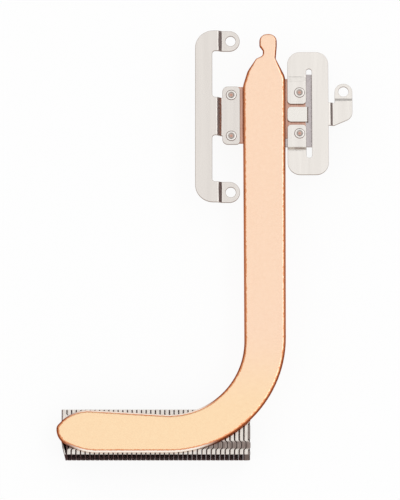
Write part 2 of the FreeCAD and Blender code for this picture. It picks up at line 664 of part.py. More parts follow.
def first_fin(number):
    """End fin with its front corner bent in, so that its top flange and front lock end there."""
    flange_end = "-lock_offset + lock_root / 2"
    bend = "bent_length - fin_depth / 2"
    shift = "fin_pitch - fin_thickness - end_gap"
    body = new_fin(number)
    add_channel(body, f"fin_depth / 2 - ({flange_end})")
    corner = [
        ("0", flange_end),
        ("0", bend),
        (shift, "-fin_depth / 2"),
        (f"{shift} + fin_thickness", "-fin_depth / 2"),
        ("fin_thickness", bend),
        ("fin_thickness", flange_end),
    ]
    pad(body, "bent_corner", "XY_Plane", "fin_height / 2", [corner], "fin_height", downward=True)
    reach = "fin_pitch - fin_gap"
    flange = [*corner[3:], (reach, flange_end), (reach, "-fin_depth / 2")]
    pad(body, "bottom_flange", "XY_Plane", "-fin_height / 2", [flange], "fin_thickness")
    add_tongues(body, LOCKS[:1])
    return body


def last_fin(number):
    """End fin with short notched flanges, bent down, and a front lip that closes the last channel."""
    tilt = "end_droop * fin_thickness / end_flange"
    half_section = [
        ("0", "fin_height / 2"),
        ("end_flange", "fin_height / 2 - end_droop"),
        ("end_flange", "fin_height / 2 - end_droop - fin_thickness"),
        ("fin_thickness", f"fin_height / 2 - fin_thickness - {tilt}"),
    ]
    section = half_section + [(x, f"-({z})") for x, z in half_section[::-1]]
    body = new_fin(number)
    pad(body, "channel", "XZ_Plane", "-fin_depth / 2", [section], "fin_depth")
    half = "(lock_root / 2 + lock_gap)"
    notch_end = "end_flange + fin_gap"
    outlines = []
    for centre in LOCKS:
        outlines.append(rectangle("-fin_gap", notch_end, f"{centre} - {half}", f"{centre} + {half}"))
    add_windows(body, outlines, "end_droop + fin_thickness")
    front = "-fin_depth / 2"
    lip_end = "end_gap + fin_thickness - fin_pitch"
    lip = rectangle(lip_end, "fin_thickness", front, f"{front} + fin_thickness")
    inside = f"fin_height / 2 - fin_thickness - {INSIDE_FOLD}"
    pad(body, "front_lip", "XY_Plane", inside, [lip], f"2 * ({inside})", downward=True)
    return body


def fin_stack():
    """All fins from the pipe's tip to the bend, the middle ones alike."""
    count = int(value("fin_count"))
    pattern = middle_fin(2)
    fins = [first_fin(1), pattern]
    for number in range(3, count):
        body = new_fin(number)
        copy_shape(body, pattern)
        fins.append(body)
    fins.append(last_fin(count))
    return fins


def save(sub_parts):
    """Check every object, then write each sub-part to its own file."""
    doc.recompute()
    for item in doc.Objects:
        if "Invalid" in item.State or "Error" in item.State:
            raise RuntimeError(f"{item.Name} failed")
    os.makedirs("parts", exist_ok=True)
    for item in sub_parts:
        if item.Shape.isNull() or not item.Shape.isValid():
            raise RuntimeError(f"{item.Label} has no valid shape")
        item.Shape.exportStep(f"parts/{item.Label}.step")


save([heat_pipe(), base_plate(), left_bracket(), right_bracket(), clamp_frame(), rivets(), *fin_stack()])
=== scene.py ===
import math
import bmesh
import bpy
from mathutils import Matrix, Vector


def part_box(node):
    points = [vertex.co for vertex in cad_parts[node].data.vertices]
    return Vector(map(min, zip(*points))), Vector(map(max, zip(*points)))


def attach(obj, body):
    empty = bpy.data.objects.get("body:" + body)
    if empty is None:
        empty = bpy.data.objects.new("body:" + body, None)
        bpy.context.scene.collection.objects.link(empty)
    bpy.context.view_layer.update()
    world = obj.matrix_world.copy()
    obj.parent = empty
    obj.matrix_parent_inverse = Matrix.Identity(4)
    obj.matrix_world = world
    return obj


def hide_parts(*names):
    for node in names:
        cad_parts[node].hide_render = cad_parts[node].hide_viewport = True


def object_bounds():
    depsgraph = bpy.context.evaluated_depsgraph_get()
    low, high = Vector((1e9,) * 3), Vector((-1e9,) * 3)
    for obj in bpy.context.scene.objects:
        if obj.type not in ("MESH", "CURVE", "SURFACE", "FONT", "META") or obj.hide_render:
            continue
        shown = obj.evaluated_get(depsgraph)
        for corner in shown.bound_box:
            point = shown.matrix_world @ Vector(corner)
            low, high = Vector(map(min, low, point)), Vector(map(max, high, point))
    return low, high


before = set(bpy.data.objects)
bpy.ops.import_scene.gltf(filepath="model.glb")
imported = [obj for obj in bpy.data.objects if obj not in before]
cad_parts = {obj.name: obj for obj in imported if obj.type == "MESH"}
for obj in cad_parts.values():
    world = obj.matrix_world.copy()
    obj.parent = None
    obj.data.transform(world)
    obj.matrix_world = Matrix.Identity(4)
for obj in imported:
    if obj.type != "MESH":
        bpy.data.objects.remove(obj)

# Base plate: the milled copper plate that presses on the chip, soldered under the pipe's long leg.
# Bare copper with the cutter's fine parallel lines, duller than the pipe because it is left as machined.
MM = 0.001  # a piece's sizes are written in millimetres, and the scene is in metres
cad_box = [list(corner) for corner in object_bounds()]
PLATE_COPPER = "#D3AA99"
PLATE_COPPER_DARK = "#B07E6B"
MILL_LINES = (0.35, 9.0, 0.35)  # the cutter's lines are about 0.1 mm apart, drawn coarser so that they show
MILL_SHADE = 0.6
MILL_ROUGHNESS = (0.25, 0.4)
MILL_RELIEF = 0.01
PLATE_EDGE = 0.08
GRAIN_DETAIL = 3.0
GRAIN_SPAN = (0.3, 0.7)
WELD_DISTANCE = 0.001
FLAT_ANGLE = math.radians(0.5)
CUT_ANGLE = math.radians(40)
CUT_STEPS = 3
STEEPEST_FOLD = 0.3  # a face that points up or down by less than this is a cut edge, not a fold


def linear(code):
    """Linear colour of an sRGB hex value."""
    channels = [int(code[start:start + 2], 16) / 255 for start in (1, 3, 5)]
    return [c / 12.92 if c <= 0.04045 else ((c + 0.055) / 1.055) ** 2.4 for c in channels] + [1.0]


def add_node(tree, kind, inputs=None, **settings):
    """One node with its settings, its inputs linked to sockets or set to constants."""
    node = tree.nodes.new(kind)
    for name, setting in settings.items():
        setattr(node, name, setting)
    for key, source in (inputs or {}).items():
        if isinstance(source, bpy.types.NodeSocket):
            tree.links.new(source, node.inputs[key])
        else:
            node.inputs[key].default_value = source
    return node


def start_metal(name, patch):
    """An empty material: its tree, the place on the piece, and a grain of 0 to 1 in patches of these millimetres."""
    material = bpy.data.materials.new(name)
    material.use_nodes = True
    tree = material.node_tree
    tree.nodes.clear()
    coords = add_node(tree, "ShaderNodeTexCoord").outputs["Object"]
    place = add_node(tree, "ShaderNodeSeparateXYZ", {"Vector": coords}).outputs
    scaled = add_node(tree, "ShaderNodeMapping", {"Vector": coords, "Scale": [1 / (size * MM) for size in patch]})
    noise = add_node(tree, "ShaderNodeTexNoise", {"Vector": scaled.outputs[0], "Scale": 1.0, "Detail": GRAIN_DETAIL})
    grain = add_node(tree, "ShaderNodeMapRange", {
        "Value": noise.outputs[0], "From Min": GRAIN_SPAN[0], "From Max": GRAIN_SPAN[1]})
    return material, tree, place, grain.outputs[0]


def close_metal(tree, colour, worn, roughness, grain, relief, grazing):
    """Bare metal of a colour and a tone seen aslant, rougher where worn, with a grain's relief in millimetres."""
    dull = add_node(tree, "ShaderNodeMapRange", {"Value": worn, "To Min": roughness[0], "To Max": roughness[1]})
    bump = add_node(tree, "ShaderNodeBump", {"Height": grain, "Distance": relief * MM})
    shader = add_node(tree, "ShaderNodeBsdfPrincipled", {
        "Base Color": colour, "Roughness": dull.outputs[0], "Metallic": 1.0, "Specular Tint": linear(grazing),
        "Normal": bump.outputs[0]})
    add_node(tree, "ShaderNodeOutputMaterial", {"Surface": shader.outputs[0]})


def softened(node, rounding):
    """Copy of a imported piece's mesh with its cut edges rounded by so many millimetres and marked as cut_edge."""
    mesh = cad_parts[node].data.copy()
    mesh.materials.append(None)  # the second slot tells the rounded faces from the rest
    shape = bmesh.new()
    shape.from_mesh(mesh)
    bmesh.ops.remove_doubles(shape, verts=shape.verts, dist=WELD_DISTANCE * MM)
    bmesh.ops.dissolve_limit(shape, angle_limit=FLAT_ANGLE, verts=shape.verts, edges=shape.edges)
    for face in shape.faces:
        face.smooth = True
    shape.to_mesh(mesh)
    shape.free()
    carrier = bpy.data.objects.new(node + "_carrier", mesh)
    bpy.context.collection.objects.link(carrier)
    edges = carrier.modifiers.new("Cut edges", "BEVEL")
    edges.width = rounding * MM
    edges.segments = CUT_STEPS
    edges.material = 1
    edges.limit_method = "ANGLE"
    edges.angle_limit = CUT_ANGLE
    carrier.modifiers.new("Even shading", "WEIGHTED_NORMAL")
    depsgraph = bpy.context.evaluated_depsgraph_get()
    rounded = bpy.data.meshes.new_from_object(carrier.evaluated_get(depsgraph))
    carrier.modifiers.clear()
    bpy.data.objects.remove(carrier)
    marks = rounded.attributes.new("cut_edge", "FLOAT", "FACE")
    for face in rounded.polygons:
        marks.data[face.index].value = float(face.material_index == 1 or abs(face.normal.z) < STEEPEST_FOLD)
        face.material_index = 0
    return rounded


def add_piece(name, mesh, material, slot, *nodes):
    """A finished piece at the origin, on the part's one body."""
    piece = bpy.data.objects.new(name, mesh)
    bpy.context.collection.objects.link(piece)
    mesh.materials.clear()
    mesh.materials.append(material)
    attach(piece, "root")
    if nodes:
        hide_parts(*nodes)


# Milled copper: a dull pink metal whose fine lines run along the plate
milled_copper, tree, _, grain = start_metal("milled_copper", MILL_LINES)
shade = add_node(tree, "ShaderNodeMath", {0: grain, 1: MILL_SHADE}, operation="MULTIPLY").outputs[0]
tone = add_node(tree, "ShaderNodeMix", {
    0: shade, 6: linear(PLATE_COPPER), 7: linear(PLATE_COPPER_DARK)}, data_type="RGBA").outputs[2]
close_metal(tree, tone, grain, MILL_ROUGHNESS, grain, MILL_RELIEF, PLATE_COPPER)
add_piece("milled_base_plate", softened("base_plate", PLATE_EDGE), milled_copper, "plate_copper", "base_plate")

# Heat pipe: a round copper tube pressed flat and bent to an L, its filling neck pinched and sealed.
# Bare bright copper, painted warmer towards the fins as a painted reflection; the pressed edges are full round,
# tarnished orange along their top, with painted shade in brown down their side on the long leg, darker towards the
# bend, and a painted near-white reflection down their side over the fins.
PIPE_COPPER = "#FDDCC1"
# painted reflection: the flat is tinted warmer towards the fins
PIPE_WARM_REFLECTION = "#FEDFB6"
PIPE_EDGE = "#E59A6C"
# painted shade down the round edge's side, darker towards the bend, and a painted near-white reflection there over
# the fins
PIPE_SIDE_SHADE = "#C47A55"
PIPE_BEND_SHADE = "#96502F"
PIPE_EDGE_REFLECTION = "#FFF4E8"
PIPE_RIM = "#C98A64"
PIPE_GRAIN = (0.5, 0.5, 0.5)
PIPE_FLECK = 0.08
PIPE_ROUGHNESS = (0.18, 0.4)
PIPE_RELIEF = 0.002
PIPE_EDGE_DEPTH = 0.8
NECK_EDGE_DEPTH = 0.4
SHOULDER = (8.0, 10.5)
WARM_REFLECTION_SPAN = (-45.0, -65.0)
FIN_MIDDLE = -25.0
EDGE_REFLECTION_SPAN = (16.0, 11.0)  # from the fins' middle
LEG_MIDDLE = -22.0
BEND_SPAN = (24.0, 31.0)  # from the long leg's middle
# how far the tarnish and the painted shade creep unevenly up and down the round edge
TARNISH_AND_SHADE_CREEP = 0.05
EDGE_SPAN = (0.0, 0.02)  # below the flat
SIDE_SPAN = (0.07, 0.13)  # below the flat
PIPE_RING_STEPS = 24
ARC_STEP = math.radians(3)
FEWEST_ARC_STEPS = 3
# Corners of the outline seen from above and their bend radii, in millimetres, from the sealed end round
PIPE_OUTLINE = [
    (4.375, 6.9, 4.0), (2.4, 10.85, 0.7), (2.63, 13.5, 4.0), (2.63, 16.15, 1.6), (-0.95, 16.15, 1.6),
    (-0.95, 13.5, 0.7), (-0.25, 12.6, 0.7), (-0.25, 11.55, 0.7), (-1.65, 10.85, 0.7), (-3.4, 8.2, 4.0),
    (-4.375, 5.0, 4.0), (-4.15, -64.85, 15.2), (-38.8, -62.77, 7.6), (-42.1, -66.29, 1.32),
    (-42.1, -69.23, 3.55), (-36.32, -71.65, 12.0), (4.15, -71.65, 23.75),
]


def rounded_outline(corners):
    """Points with outward normals along a closed outline whose corners are bent to their radii."""
    points = []
    count = len(corners)
    for index, (x, y, radius) in enumerate(corners):
        before = corners[index - 1]
        after = corners[(index + 1) % count]
        arrive = math.atan2(y - before[1], x - before[0])
        leave = math.atan2(after[1] - y, after[0] - x)
        turn = (leave - arrive + math.pi) % math.tau - math.pi
        side = math.copysign(1, turn)
        reach = radius * math.tan(abs(turn) / 2)
        start_x = x - reach * math.cos(arrive)
        start_y = y - reach * math.sin(arrive)
        centre_x = start_x - side * radius * math.sin(arrive)
        centre_y = start_y + side * radius * math.cos(arrive)
        steps = max(FEWEST_ARC_STEPS, math.ceil(abs(turn) / ARC_STEP))
        for step in range(steps + 1):
            heading = arrive + turn * step / steps
            normal = (math.sin(heading), -math.cos(heading))
            points.append((centre_x + side * radius * normal[0], centre_y + side * radius * normal[1], *normal))
    return points


def pressed_tube(outline, low, high):
    """Mesh of a flattened tube: level top and bottom joined by full round edges, narrower on the pinched neck."""
    middle = (low + high) / 2
    half = (high - low) / 2
    count = len(outline)
    pinch = [min(max((y - SHOULDER[0]) / (SHOULDER[1] - SHOULDER[0]), 0), 1) for x, y, nx, ny in outline]
    depths = [PIPE_EDGE_DEPTH + (NECK_EDGE_DEPTH - PIPE_EDGE_DEPTH) * share for share in pinch]
    vertices = []
    faces = []
    for ring in range(PIPE_RING_STEPS + 1):
        angle = math.pi * ring / PIPE_RING_STEPS
        inward = 1 - math.sin(angle)
        z = middle + half * math.cos(angle)
        for (x, y, nx, ny), depth in zip(outline, depths):
            vertices.append(((x - inward * depth * nx) * MM, (y - inward * depth * ny) * MM, z))
    for ring in range(PIPE_RING_STEPS):
        for index in range(count):
            following = (index + 1) % count
            upper = ring * count
            lower = upper + count
            faces.append((upper + index, lower + index, lower + following, upper + following))
    faces.append(tuple(range(count)))
    faces.append(tuple(reversed(range(PIPE_RING_STEPS * count, (PIPE_RING_STEPS + 1) * count))))
    mesh = bpy.data.meshes.new("heat_pipe_pressed")
    mesh.from_pydata(vertices, [], faces)
    mesh.polygons.foreach_set("use_smooth", [len(face.vertices) == 4 for face in mesh.polygons])
    mesh.update()
    return mesh


# Pressed copper: a bright even flat with a painted warmer reflection towards the fins, and a duller edge
pressed_copper, tree, place, grain = start_metal("pressed_copper", PIPE_GRAIN)
warm_reflection = add_node(tree, "ShaderNodeMapRange", {
    "Value": place["Y"], "From Min": WARM_REFLECTION_SPAN[0] * MM, "From Max": WARM_REFLECTION_SPAN[1] * MM},
    interpolation_type="SMOOTHSTEP").outputs[0]
flat = add_node(tree, "ShaderNodeMix", {
    0: warm_reflection, 6: linear(PIPE_COPPER), 7: linear(PIPE_WARM_REFLECTION)}, data_type="RGBA").outputs[2]
fleck = add_node(tree, "ShaderNodeMath", {0: grain, 1: PIPE_FLECK}, operation="MULTIPLY").outputs[0]
rubbed = add_node(tree, "ShaderNodeMix", {0: fleck, 6: flat, 7: linear(PIPE_EDGE)}, data_type="RGBA").outputs[2]
# The tarnish and the painted shade creep unevenly up and down the round edge from the pipe's middle
pipe_low, pipe_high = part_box("heat_pipe")
pipe_middle = (pipe_low[2] + pipe_high[2]) / 2
half_height = (pipe_high[2] - pipe_low[2]) / 2
height = add_node(tree, "ShaderNodeMath", {0: place["Z"], 1: pipe_middle}, operation="SUBTRACT").outputs[0]
apart = add_node(tree, "ShaderNodeMath", {0: height}, operation="ABSOLUTE").outputs[0]
creep = add_node(tree, "ShaderNodeMath", {
    0: grain, 1: TARNISH_AND_SHADE_CREEP * MM, 2: apart}, operation="MULTIPLY_ADD").outputs[0]
edge = add_node(tree, "ShaderNodeMapRange", {
    "Value": creep, "From Min": half_height - EDGE_SPAN[0] * MM, "From Max": half_height - EDGE_SPAN[1] * MM},
    interpolation_type="SMOOTHSTEP").outputs[0]
side = add_node(tree, "ShaderNodeMapRange", {
    "Value": creep, "From Min": half_height - SIDE_SPAN[0] * MM, "From Max": half_height - SIDE_SPAN[1] * MM},
    interpolation_type="SMOOTHSTEP").outputs[0]
# Down the side, the edge over the fins is painted near white as a painted reflection, and the rest is painted brown
# as painted shade, darker at the bend than on the long leg
from_fins = add_node(tree, "ShaderNodeMath", {0: place["X"], 1: FIN_MIDDLE * MM}, operation="SUBTRACT").outputs[0]
aside = add_node(tree, "ShaderNodeMath", {0: from_fins}, operation="ABSOLUTE").outputs[0]
over_fins = add_node(tree, "ShaderNodeMapRange", {
    "Value": aside, "From Min": EDGE_REFLECTION_SPAN[0] * MM, "From Max": EDGE_REFLECTION_SPAN[1] * MM},
    interpolation_type="SMOOTHSTEP").outputs[0]
from_leg = add_node(tree, "ShaderNodeMath", {0: place["Y"], 1: LEG_MIDDLE * MM}, operation="SUBTRACT").outputs[0]
beyond = add_node(tree, "ShaderNodeMath", {0: from_leg}, operation="ABSOLUTE").outputs[0]
bent = add_node(tree, "ShaderNodeMapRange", {
    "Value": beyond, "From Min": BEND_SPAN[0] * MM, "From Max": BEND_SPAN[1] * MM},
    interpolation_type="SMOOTHSTEP").outputs[0]
# painted shade on the side, darker at the bend, then a painted reflection over the fins
painted_side_shade = add_node(tree, "ShaderNodeMix", {
    0: bent, 6: linear(PIPE_SIDE_SHADE), 7: linear(PIPE_BEND_SHADE)}, data_type="RGBA").outputs[2]
lower = add_node(tree, "ShaderNodeMix", {
    0: over_fins, 6: painted_side_shade, 7: linear(PIPE_EDGE_REFLECTION)}, data_type="RGBA").outputs[2]
tarnish_shade_and_reflection = add_node(tree, "ShaderNodeMix", {0: side, 6: linear(PIPE_EDGE), 7: lower}, data_type="RGBA").outputs[2]
edged = add_node(tree, "ShaderNodeMix", {0: edge, 6: rubbed, 7: tarnish_shade_and_reflection}, data_type="RGBA").outputs[2]
close_metal(tree, edged, edge, PIPE_ROUGHNESS, grain, PIPE_RELIEF, PIPE_RIM)
pipe_mesh = pressed_tube(rounded_outline(PIPE_OUTLINE), pipe_low[2], pipe_high[2])
add_piece("pressed_heat_pipe", pipe_mesh, pressed_copper, "pipe_copper", "heat_pipe")

# Fin stack: 41 stamped channels whose flanges hook into one another, soldered under the short leg.
# Plated sheet, bright on the flanges and cut edges, with painted shade in a dull dark tone down in the air channels
# and on the end fin's outer half millimetre.
FIN_FACE = "#EDE6DE"
FIN_MARK = "#84756F"
# painted shade: the channels' walls, and the end fin's outer edge
FIN_CHANNEL_SHADE = "#7A6664"
FIN_END_SHADE = "#9A8E88"
FIN_SLANT = "#5E4E4B"
FIN_MARKS = (0.25, 1.2, 0.25)
FIN_MARK_SHARE = 0.3
FIN_ROUGHNESS = (0.22, 0.5)
FIN_RELIEF = 0.003
FIN_EDGE = 0.05
FIN_LIP = 0.5
LIP_FADE = 0.06
TOP_SPAN = (0.04, 0.12)  # below the top flange's face
FOOT_SPAN = (0.06, 0.2)  # above the bottom flange's face
LOCK_ROW = -69.98
LOCK_SPAN = (0.95, 0.65)  # from the row of locks
LOCK_DARKENING = 0.8
fin_low, fin_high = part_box("fin_02")


def plated_fin(name, channel_shade, lip):
    """Plated fin sheet, bright along its top and bottom, with painted shade of the channel's tone between them and
    beyond a lip's X.
    """
    material, tree, place, grain = start_metal(name, FIN_MARKS)
    below = add_node(tree, "ShaderNodeMapRange", {
        "Value": place["Z"],
        "From Min": fin_high[2] - TOP_SPAN[0] * MM, "From Max": fin_high[2] - TOP_SPAN[1] * MM}).outputs[0]
    above = add_node(tree, "ShaderNodeMapRange", {
        "Value": place["Z"],
        "From Min": fin_low[2] + FOOT_SPAN[0] * MM, "From Max": fin_low[2] + FOOT_SPAN[1] * MM}).outputs[0]
    between = add_node(tree, "ShaderNodeMath", {0: below, 1: above}, operation="MULTIPLY").outputs[0]
    outside = add_node(tree, "ShaderNodeMapRange", {
        "Value": place["X"], "From Min": lip, "From Max": lip + LIP_FADE * MM}).outputs[0]
    painted_shade = add_node(tree, "ShaderNodeMath", {0: between, 1: outside}, operation="MAXIMUM").outputs[0]
    apart = add_node(tree, "ShaderNodeMath", {0: place["Y"], 1: LOCK_ROW * MM}, operation="SUBTRACT").outputs[0]
    along = add_node(tree, "ShaderNodeMath", {0: apart}, operation="ABSOLUTE").outputs[0]
    # the fin is darker along the row of locks
    near_lock = add_node(tree, "ShaderNodeMapRange", {
        "Value": along,
        "From Min": LOCK_SPAN[0] * MM, "From Max": LOCK_SPAN[1] * MM, "To Max": LOCK_DARKENING}).outputs[0]
    worn = add_node(tree, "ShaderNodeMath", {
        0: grain, 1: FIN_MARK_SHARE, 2: near_lock}, operation="MULTIPLY_ADD").outputs[0]
    face = add_node(tree, "ShaderNodeMix", {
        0: worn, 6: linear(FIN_FACE), 7: linear(FIN_MARK)}, data_type="RGBA").outputs[2]
    # painted shade between the flanges and beyond the lip
    tone = add_node(tree, "ShaderNodeMix", {0: painted_shade, 6: face, 7: linear(channel_shade)}, data_type="RGBA").outputs[2]
    close_metal(tree, tone, painted_shade, FIN_ROUGHNESS, grain, FIN_RELIEF, FIN_SLANT)
    return material


def open_tree(name, inputs):
    """A geometry node tree with named inputs, and what it is given."""
    tree = bpy.data.node_groups.new(name, "GeometryNodeTree")
    tree.interface.new_socket("Geometry", in_out="OUTPUT", socket_type="NodeSocketGeometry")
    for label, kind in {"Geometry": "Geometry", **inputs, "Metal": "Material"}.items():
        tree.interface.new_socket(label, in_out="INPUT", socket_type="NodeSocket" + kind)
    return tree, add_node(tree, "NodeGroupInput").outputs


def close_tree(tree, instances, metal):
    """The tree's end: its instances made real and given their metal."""
    real = add_node(tree, "GeometryNodeRealizeInstances", {"Geometry": instances})
    painted = add_node(tree, "GeometryNodeSetMaterial", {"Geometry": real.outputs[0], "Material": metal})
    add_node(tree, "NodeGroupOutput", {"Geometry": painted.outputs[0]})


def grow(tree, mesh, values):
    """Plain mesh that a node tree makes from a mesh and the values of its named inputs."""
    carrier = bpy.data.objects.new(tree.name + "_carrier", mesh)
    bpy.context.collection.objects.link(carrier)
    modifier = carrier.modifiers.new("Grow", "NODES")
    modifier.node_group = tree
    for item in tree.interface.items_tree:
        if item.in_out == "INPUT" and item.name in values:
            modifier[item.identifier] = values[item.name]
    depsgraph = bpy.context.evaluated_depsgraph_get()
    grown = bpy.data.meshes.new_from_object(carrier.evaluated_get(depsgraph))
    carrier.modifiers.remove(modifier)
    bpy.data.objects.remove(carrier)
    return grown


fins = sorted(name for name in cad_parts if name.startswith("fin_"))
first_fin, *like_fins, last_fin = fins
stack_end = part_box(last_fin)[1][0]
inner_fin = plated_fin("plated_fin_sheet", FIN_CHANNEL_SHADE, stack_end)
end_fin = plated_fin("plated_end_fin_sheet", FIN_END_SHADE, stack_end - FIN_LIP * MM)
add_piece("plated_first_fin", softened(first_fin, FIN_EDGE), inner_fin, "fin_metal", first_fin)
add_piece("plated_last_fin", softened(last_fin, FIN_EDGE), end_fin, "fin_metal", last_fin)
fin_row, given = open_tree("hooked_fin_row", {"Fin Count": "Int", "Fin Pitch": "Float"})
offset = add_node(fin_row, "ShaderNodeCombineXYZ", {"X": given["Fin Pitch"]})
line = add_node(fin_row, "GeometryNodeMeshLine", {"Count": given["Fin Count"], "Offset": offset.outputs[0]})
copies = add_node(fin_row, "GeometryNodeInstanceOnPoints", {
    "Points": line.outputs[0], "Instance": given["Geometry"]})
close_tree(fin_row, copies.outputs[0], given["Metal"])
fin_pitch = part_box(like_fins[1])[0][0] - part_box(like_fins[0])[0][0]
row_mesh = grow(fin_row, softened(like_fins[0], FIN_EDGE), {
    "Fin Count": len(like_fins), "Fin Pitch": fin_pitch, "Metal": inner_fin})
add_piece("plated_fin_row", row_mesh, inner_fin, "fin_metal", *like_fins)

# Spring brackets: two stampings of thin spring steel, stepped down to their riveted tabs and screw lugs.
# Rolled steel left bare: a pale, slightly warm grey with faint rolling streaks, painted a shade darker on the left
# bracket as painted shade, with rounded cut edges and steep steps painted brown-grey as painted shade.
# painted shade: the left bracket is the same steel painted a shade darker than the right
STEEL_LEFT_SHADED = "#E6E0DA"
STEEL_RIGHT = "#EFEAE4"
STEEL_STREAK = "#CFC8C3"
STEEL_SLANT = "#D0C9C3"
# painted shade on the rounded cut edges and steep steps
CUT_EDGE_SHADE = "#A3938A"
STEEL_STREAKS = (1.1, 30.0, 1.1)
STREAK_SHARE = 0.25
STEEL_ROUGHNESS = (0.17, 0.22)
STEEL_RELIEF = 0.001
STEEL_EDGE = 0.1
for node, face in (("left_bracket", STEEL_LEFT_SHADED), ("right_bracket", STEEL_RIGHT)):
    rolled_steel, tree, _, grain = start_metal("rolled_steel_" + node, STEEL_STREAKS)
    streak = add_node(tree, "ShaderNodeMath", {0: grain, 1: STREAK_SHARE}, operation="MULTIPLY").outputs[0]
    sheet = add_node(tree, "ShaderNodeMix", {
        0: streak, 6: linear(face), 7: linear(STEEL_STREAK)}, data_type="RGBA").outputs[2]
    cut = add_node(tree, "ShaderNodeAttribute", attribute_name="cut_edge").outputs["Fac"]
    # cut edges and steep steps are painted darker as painted shade
    tone = add_node(tree, "ShaderNodeMix", {0: cut, 6: sheet, 7: linear(CUT_EDGE_SHADE)}, data_type="RGBA").outputs[2]
    close_metal(tree, tone, grain, STEEL_ROUGHNESS, grain, STEEL_RELIEF, STEEL_SLANT)
    add_piece("stamped_" + node, softened(node, STEEL_EDGE), rolled_steel, "spring_steel", node)

# Clamp frame: a sheet frame beside the base plate whose tongue laps on the plate between the right tabs.
# Zinc-plated steel, bright on the tongue; the lower frame is painted grey as painted shade below the tongue's level,
# with a faint spangle.
ZINC_TONGUE = "#EDE9E3"
ZINC_FRAME_SHADE = "#C6BEBE"
ZINC_SPOT = "#B0A8A9"
ZINC_SPANGLE = (0.6, 0.6, 0.6)
SPANGLE_SHARE = 0.5
ZINC_ROUGHNESS = (0.22, 0.32)
ZINC_RELIEF = 0.0002
TONGUE_RISE = (1.05, 1.35)
zinc_steel, tree, place, grain = start_metal("zinc_plated_steel", ZINC_SPANGLE)
# painted shade: the frame below the tongue's level is painted grey
raised = add_node(tree, "ShaderNodeMapRange", {
    "Value": place["Z"], "From Min": TONGUE_RISE[0] * MM, "From Max": TONGUE_RISE[1] * MM}).outputs[0]
spangle = add_node(tree, "ShaderNodeMath", {0: grain, 1: SPANGLE_SHARE}, operation="MULTIPLY").outputs[0]
lower = add_node(tree, "ShaderNodeMix", {
    0: spangle, 6: linear(ZINC_FRAME_SHADE), 7: linear(ZINC_SPOT)}, data_type="RGBA").outputs[2]
zinc = add_node(tree, "ShaderNodeMix", {0: raised, 6: lower, 7: linear(ZINC_TONGUE)}, data_type="RGBA").outputs[2]
cut = add_node(tree, "ShaderNodeAttribute", attribute_name="cut_edge").outputs["Fac"]
# cut edges and steep steps are painted darker as painted shade
tone = add_node(tree, "ShaderNodeMix", {0: cut, 6: zinc, 7: linear(CUT_EDGE_SHADE)}, data_type="RGBA").outputs[2]
close_metal(tree, tone, grain, ZINC_ROUGHNESS, grain, ZINC_RELIEF, STEEL_SLANT)
add_piece("stamped_clamp_frame", softened("clamp_frame", STEEL_EDGE), zinc_steel, "frame_steel", "clamp_frame")

# Rivets: four copper pins set flush through tabs and plate, each inside a rim coined into the steel tab.
# The pins are pressed copper with a rough end, greyer towards their rim; the rims are burnished, with painted shade
# in brown at their foot.
RIVET_COPPER = "#D2A592"
RIVET_DARK = "#B98C7C"
RIVET_RIM_GREY = "#C2B8B3"
RIVET_GRAIN = (0.3, 0.3, 0.3)
RIVET_ROUGHNESS = (0.3, 0.45)
RIVET_RELIEF = 0.02
RIVET_PLACES = [(-6.77, 3.2), (-6.77, -5.5), (7.24, 3.73), (7.24, -4.97)]
RIM_GREY_SPAN = (0.22, 0.4)  # from the pin's middle
FARTHEST = 1000.0
RIM_STEEL = "#EFEBE6"
RIM_INSIDE = "#AAA098"
RIM_FOOT_SHADE = "#6A4C42"
RIM_ROUGHNESS = (0.18, 0.28)
RIM_RELIEF = 0.003
RIM_RADIUS = 0.77
RIM_HALF_WIDTH = 0.32
RIM_HEIGHT = 0.12
RIM_STEPS = 48
RIM_SECTION_STEPS = 24
INSIDE_SPAN = (0.74, 0.64)  # from the pin's middle
FOOT_SHADE_SPAN = (0.94, 1.0)  # from the pin's middle
TAB_TOP = 1.4

# Set copper: a rough pink middle, greyer towards the rim
set_copper, tree, place, grain = start_metal("set_rivet_copper", RIVET_GRAIN)
pin_end = add_node(tree, "ShaderNodeMix", {
    0: grain, 6: linear(RIVET_COPPER), 7: linear(RIVET_DARK)}, data_type="RGBA").outputs[2]
level_place = add_node(tree, "ShaderNodeCombineXYZ", {"X": place["X"], "Y": place["Y"]}).outputs[0]
from_middle = FARTHEST * MM
for x, y in RIVET_PLACES:
    apart = add_node(tree, "ShaderNodeVectorMath", {
        0: level_place, 1: (x * MM, y * MM, 0)}, operation="DISTANCE").outputs["Value"]
    from_middle = add_node(tree, "ShaderNodeMath", {0: from_middle, 1: apart}, operation="MINIMUM").outputs[0]
# the pin end is greyer towards its rim
rim_grey = add_node(tree, "ShaderNodeMapRange", {
    "Value": from_middle, "From Min": RIM_GREY_SPAN[0] * MM, "From Max": RIM_GREY_SPAN[1] * MM}).outputs[0]
tone = add_node(tree, "ShaderNodeMix", {
    0: rim_grey, 6: pin_end, 7: linear(RIVET_RIM_GREY)}, data_type="RGBA").outputs[2]
close_metal(tree, tone, grain, RIVET_ROUGHNESS, grain, RIVET_RELIEF, RIVET_COPPER)
for pin_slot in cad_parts["rivets"].material_slots:
    pin_slot.material = set_copper

# Coined steel: a bright ring, greyer down its inside, with painted shade in brown at its foot
coined_steel, tree, _, grain = start_metal("coined_rim_steel", RIVET_GRAIN)
from_pin = add_node(tree, "ShaderNodeAttribute", attribute_name="from_pin").outputs["Fac"]
inner = add_node(tree, "ShaderNodeMapRange", {
    "Value": from_pin, "From Min": INSIDE_SPAN[0] * MM, "From Max": INSIDE_SPAN[1] * MM}).outputs[0]
